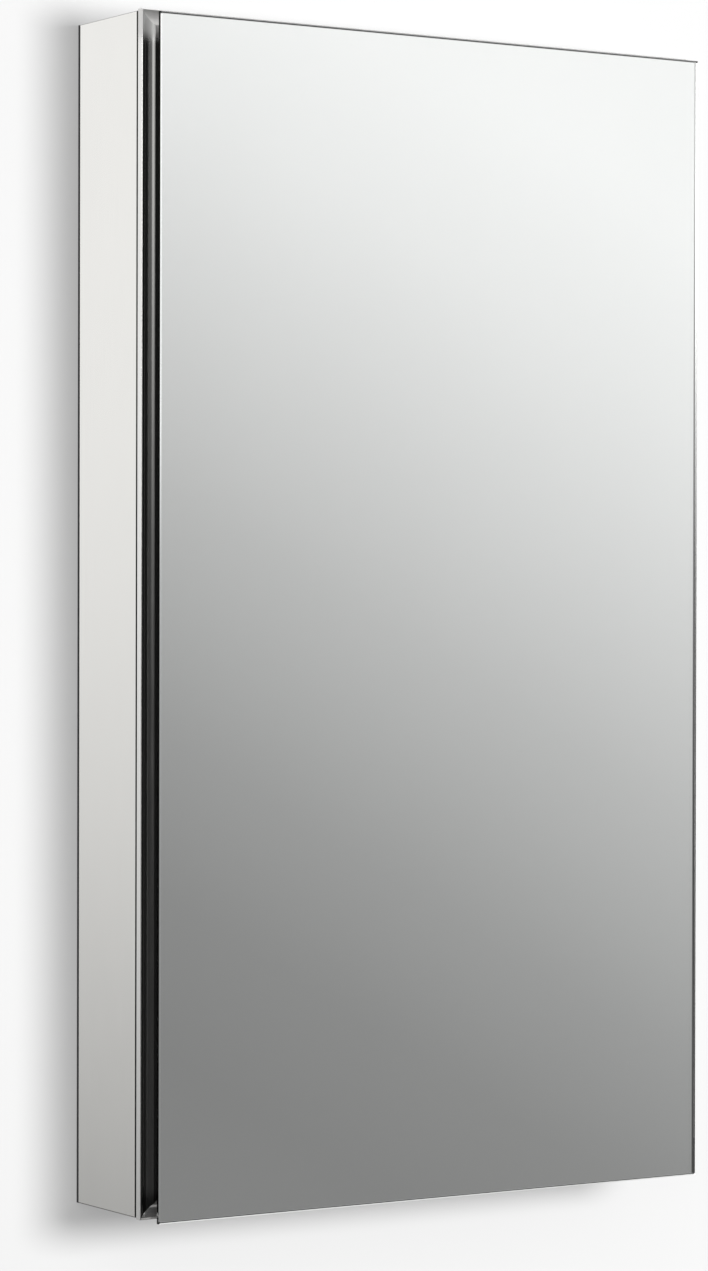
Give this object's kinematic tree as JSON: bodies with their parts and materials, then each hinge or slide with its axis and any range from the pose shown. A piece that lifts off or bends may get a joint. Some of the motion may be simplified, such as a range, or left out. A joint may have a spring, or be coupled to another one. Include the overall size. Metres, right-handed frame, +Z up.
{
  "type": "medicine cabinet with mirror",
  "caption": "Tall wall-hung medicine cabinet with a frameless mirror door on a full-length hinge, a concave edge pull, a mirrored back and glass shelves on clips.",
  "frame": {"origin": "centre of the four wall-screw holes, on the back face that meets the wall", "axes": "+Z up, +Y into the wall, +X to the hinge side; the mirror faces -Y"},
  "size_m": [0.5182, 0.112, 0.9165],
  "materials": {
    "galvanised_sheet": "satin anodised sheet",
    "painted_sheet": "satin anodised sheet",
    "satin_skin": "fine satin, faint vertical grain",
    "bright_frame": "bright anodised extrusion",
    "rivets": "plain",
    "steel_keys": "zinc plated",
    "steel_clips": "nickel plated",
    "screws": "zinc plated",
    "mirror": "silvered flat glass, polished edges",
    "foam_tape": "closed-cell tape",
    "satin_standard": "satin anodised",
    "satin_door_frame": "satin anodised",
    "clear_glass": "clear tempered glass, green polished edge",
    "clear_clips": "frosted clear plastic",
    "catch_plastic": "moulded",
    "magnets": "sintered ferrite",
    "hinge_steel": "brushed stainless"
  },
  "bodies": {
    "cabinet": {"side_wall_left": "galvanised_sheet", "side_wall_right": "galvanised_sheet", "top_wall": "painted_sheet", "bottom_wall": "painted_sheet", "back_panel": "painted_sheet", "back_rivets": "rivets", "side_skin_left": "satin_skin", "side_skin_right": "satin_skin", "front_stile_left": "bright_frame", "front_stile_right": "bright_frame", "front_rail_top": "bright_frame", "front_rail_bottom": "bright_frame", "frame_rivets": "rivets", "frame_corner_keys": "steel_keys", "back_mirror": "mirror", "back_mirror_tape": "foam_tape", "back_mirror_clips": "steel_clips", "back_mirror_screws": "screws", "shelf_standard_left_rear": "satin_standard", "shelf_standard_left_front": "satin_standard", "shelf_standard_right_rear": "satin_standard", "shelf_standard_right_front": "satin_standard", "standard_screws": "screws", "glass_shelf_1": "clear_glass", "glass_shelf_2": "clear_glass", "glass_shelf_3": "clear_glass", "shelf_clips_1": "clear_clips", "shelf_clips_2": "clear_clips", "shelf_clips_3": "clear_clips", "catch_housing_top": "catch_plastic", "catch_housing_bottom": "catch_plastic", "catch_magnets": "magnets", "catch_screws": "screws", "hinge_leaf_cabinet": "hinge_steel", "hinge_pin": "hinge_steel", "hinge_screws_cabinet": "screws"},
    "door": {"door_mirror": "mirror", "mirror_bond_tape": "foam_tape", "door_stile_left": "satin_door_frame", "door_stile_right": "satin_door_frame", "door_rail_top": "satin_door_frame", "door_rail_bottom": "satin_door_frame", "door_corner_keys": "steel_keys", "door_inside_mirror": "mirror", "strike_plates": "steel_clips", "strike_screws": "screws", "hinge_leaf_door": "hinge_steel", "hinge_screws_door": "screws"}
  },
  "joints": [
    {"name": "door_hinge", "type": "hinge", "parent": "cabinet", "child": "door", "pos_m": [0.258, -0.1045, 0], "axis": [0, 0, 1], "range_deg": [0, 160]}
  ]
}
